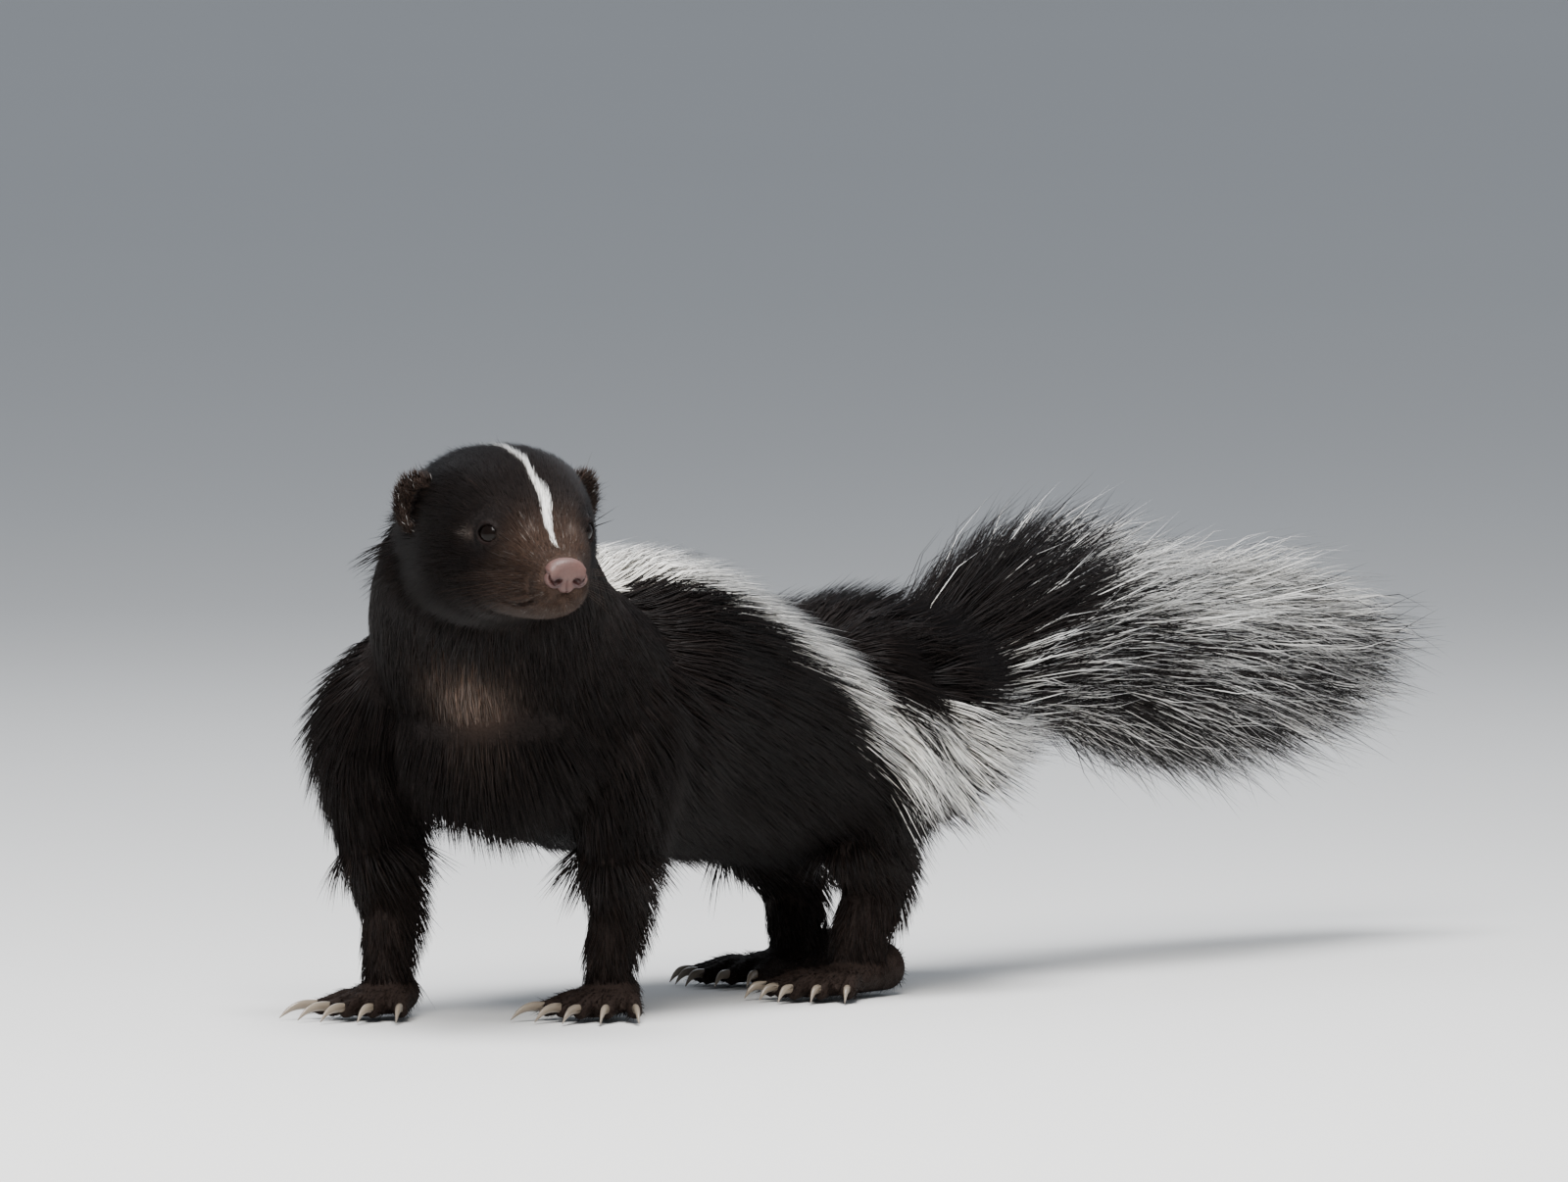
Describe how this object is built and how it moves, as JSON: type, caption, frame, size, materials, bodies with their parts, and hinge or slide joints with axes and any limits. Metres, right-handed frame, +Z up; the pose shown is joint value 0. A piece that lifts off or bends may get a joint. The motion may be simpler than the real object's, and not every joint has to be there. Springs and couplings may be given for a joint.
{
  "type": "striped skunk",
  "caption": "Life-size still model of a striped skunk, standing with one forefoot ahead, its head turned to its left and its long-haired tail carried low.",
  "frame": {"origin": "on the floor, under the middle of the standing animal's box", "axes": "+X the way the body heads, +Y its left side, +Z up"},
  "size_m": [0.6149, 0.1749, 0.1927],
  "materials": {
    "body_coat": "long glossy black outer hair with two white stripes",
    "neck_coat": "black hair with a white patch on the nape",
    "head_coat": "short dark hair with a thin white blaze",
    "tail_coat": "very long coarse hair, black mixed with white",
    "leg_coat": "short black hair",
    "ear_skin": "thin skin with short dark hair and a pale fringe",
    "paw_skin": "bare dark sole with pale horn claws",
    "eye": "wet, nearly black"
  },
  "bodies": {
    "root": {"torso": "body_coat", "neck": "neck_coat", "head": "head_coat", "tail": "tail_coat", "ear_right": "ear_skin", "ear_left": "ear_skin", "eye_right": "eye", "eye_left": "eye", "foreleg_right": "leg_coat", "forepaw_right": "paw_skin", "foreleg_left": "leg_coat", "forepaw_left": "paw_skin", "hindleg_right": "leg_coat", "hindpaw_right": "paw_skin", "hindleg_left": "leg_coat", "hindpaw_left": "paw_skin"}
  },
  "joints": []
}
